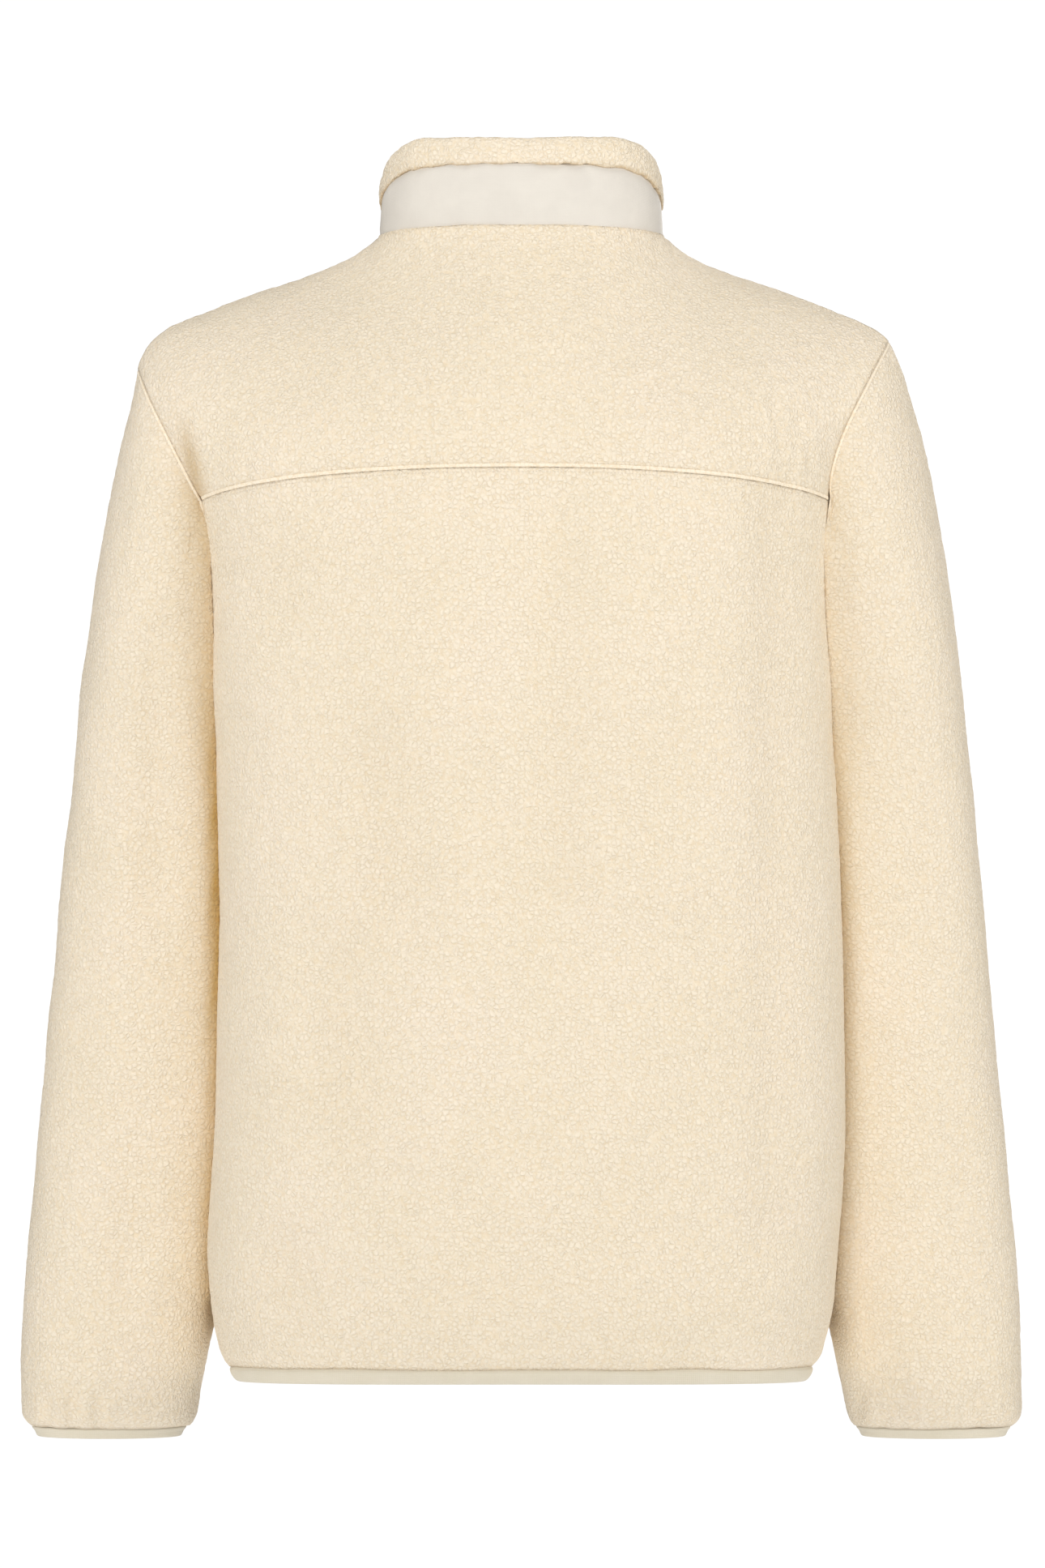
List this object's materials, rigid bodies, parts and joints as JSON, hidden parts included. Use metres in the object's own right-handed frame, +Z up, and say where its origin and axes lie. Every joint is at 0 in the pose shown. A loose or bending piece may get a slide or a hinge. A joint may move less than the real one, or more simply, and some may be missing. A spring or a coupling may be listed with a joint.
{
  "type": "high-pile fleece jacket",
  "caption": "Long-sleeved high-pile fleece jacket with a back yoke, stand collar, full front zip and elastic-bound hem and cuffs, filled out as worn.",
  "frame": {"origin": "middle of the shoulder line at the collar seam, where the jacket hangs on its wearer", "axes": "+Z up along the body, -Y the front with the zip, +X the wearer's left side"},
  "size_m": [0.6104, 0.2763, 0.7836],
  "materials": {
    "fleece": "cream high-pile pebbled fleece",
    "woven_band": "off-white plain woven, matt",
    "elastic_binding": "smooth matt stretch binding",
    "zip_tape": "cream woven tape",
    "zip_teeth": "cream moulded teeth",
    "zip_hardware": "cream satin lacquer"
  },
  "bodies": {
    "jacket": {"back_panel": "fleece", "back_yoke": "fleece", "front_left": "fleece", "front_right": "fleece", "sleeve_left": "fleece", "sleeve_right": "fleece", "collar": "fleece", "collar_band": "woven_band", "hem_binding": "elastic_binding", "cuff_left": "elastic_binding", "cuff_right": "elastic_binding", "zip_tape_left": "zip_tape", "zip_tape_right": "zip_tape", "zip_chain": "zip_teeth", "zip_box": "zip_hardware", "slider": "zip_hardware"},
    "pull": {"pull_tab": "zip_hardware"}
  },
  "joints": [
    {"name": "pull_tab_hinge", "type": "hinge", "parent": "jacket", "child": "pull", "pos_m": [0, -0.0839, -0.0065], "axis": [-1, 0, 0], "range_deg": [0, 165]}
  ]
}
